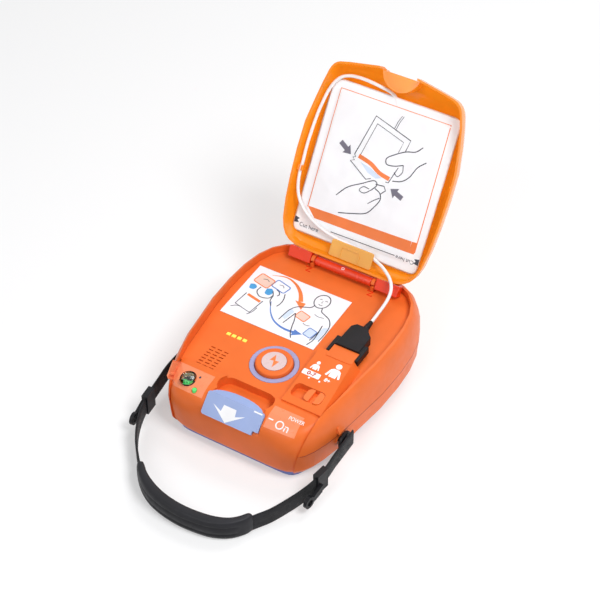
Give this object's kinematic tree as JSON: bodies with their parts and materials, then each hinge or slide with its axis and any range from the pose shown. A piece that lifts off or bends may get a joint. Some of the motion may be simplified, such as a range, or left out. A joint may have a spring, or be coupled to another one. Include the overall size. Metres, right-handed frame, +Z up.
{
  "type": "automated external defibrillator",
  "caption": "Orange semi-automatic defibrillator with its hinged lid open, electrode pouch in the lid, shock button, on lever, mode slider and a carry strap.",
  "frame": {"origin": "centre of the base tray's flat underside", "axes": "+Z up out of the control deck, -Y towards the on lever and the carry strap, +Y towards the lid's hinge"},
  "size_m": [0.2101, 0.4404, 0.262],
  "materials": {
    "orange_case": "fine texture",
    "amber_lid": "translucent gloss",
    "red_hinge": "translucent gloss",
    "blue_plastic": "satin",
    "white_label": "satin",
    "black_plastic": "satin",
    "webbing": "woven",
    "grip_rubber": "matte",
    "clear_lens": "clear",
    "green_light": "diffusing",
    "yellow_light": "diffusing",
    "circuit_board": "solder resist",
    "plated_steel": "plated",
    "aluminium_can": "satin",
    "pad_gel": "gel on foam",
    "lead_cable": "satin"
  },
  "bodies": {
    "case": {"outer_shell": "orange_case", "control_deck": "orange_case", "lower_case": "orange_case", "base_tray": "blue_plastic", "shock_ring": "blue_plastic", "case_screw_1": "plated_steel", "case_screw_2": "plated_steel", "case_screw_3": "plated_steel", "case_screw_4": "plated_steel", "case_screw_5": "plated_steel", "case_screw_6": "plated_steel", "hv_capacitor": "aluminium_can", "guide_label": "white_label", "shock_switch": "black_plastic", "speaker": "black_plastic", "status_drum_housing": "black_plastic", "lever_switch": "black_plastic", "mode_switch": "black_plastic", "pad_socket": "black_plastic", "pad_plug": "black_plastic", "plug_strain_relief": "black_plastic", "hv_transformer": "black_plastic", "output_relay": "black_plastic", "battery_contacts": "black_plastic", "strap_pin_left": "black_plastic", "strap_pin_right": "black_plastic", "status_led_1": "yellow_light", "status_led_2": "yellow_light", "status_led_3": "yellow_light", "status_led_4": "yellow_light", "control_board": "circuit_board", "main_board": "circuit_board", "status_lens": "clear_lens", "ready_led": "green_light", "free_lead": "lead_cable"},
    "lid": {"lid_shell": "amber_lid", "hinge_bar": "red_hinge", "pouch_clip": "amber_lid", "lead_clip": "amber_lid", "electrode_pouch": "white_label", "electrode_pad_1": "pad_gel", "electrode_pad_2": "pad_gel", "lid_lead": "lead_cable"},
    "lever": {"power_lever": "blue_plastic"},
    "button": {"shock_button": "orange_case", "shock_button_disc": "white_label"},
    "slider": {"mode_slider": "orange_case"},
    "indicator": {"status_drum": "green_light"},
    "handle": {"strap_left": "webbing", "strap_right": "webbing", "strap_adjuster_left": "black_plastic", "strap_adjuster_right": "black_plastic", "strap_grip": "grip_rubber"},
    "battery": {"battery_pack": "black_plastic"},
    "latch": {"battery_latch": "blue_plastic"}
  },
  "joints": [
    {"name": "lid_hinge", "type": "hinge", "parent": "case", "child": "lid", "pos_m": [0, 0.1, 0.075], "axis": [1, 0, 0], "range_deg": [0, 121.5], "deforming": ["free_lead"]},
    {"name": "lever_slide", "type": "slide", "parent": "case", "child": "lever", "axis": [0, 0.7071, 0.7071], "range_m": [0, 0.009]},
    {"name": "shock_press", "type": "slide", "parent": "case", "child": "button", "axis": [0, 0.0349, -0.9994], "range_m": [0, 0.003], "stiffness_N_per_m": 700, "springref_m": -0.0012},
    {"name": "mode_slide", "type": "slide", "parent": "case", "child": "slider", "axis": [-1, 0, 0], "range_m": [0, 0.0135]},
    {"name": "handle_swing", "type": "hinge", "parent": "case", "child": "handle", "pos_m": [0, -0.066, 0.0285], "axis": [-1, 0, 0], "range_deg": [0, 95]},
    {"name": "indicator_turn", "type": "hinge", "parent": "case", "child": "indicator", "pos_m": [-0.059, -0.1, 0.0506], "axis": [1, 0, 0], "range_deg": [0, 180]},
    {"name": "battery_slide", "type": "slide", "parent": "case", "child": "battery", "axis": [0, 1, 0], "range_m": [0, 0.075]},
    {"name": "latch_press", "type": "slide", "parent": "battery", "child": "latch", "axis": [0, -1, 0], "range_m": [0, 0.002], "stiffness_N_per_m": 700, "springref_m": -0.0012}
  ]
}
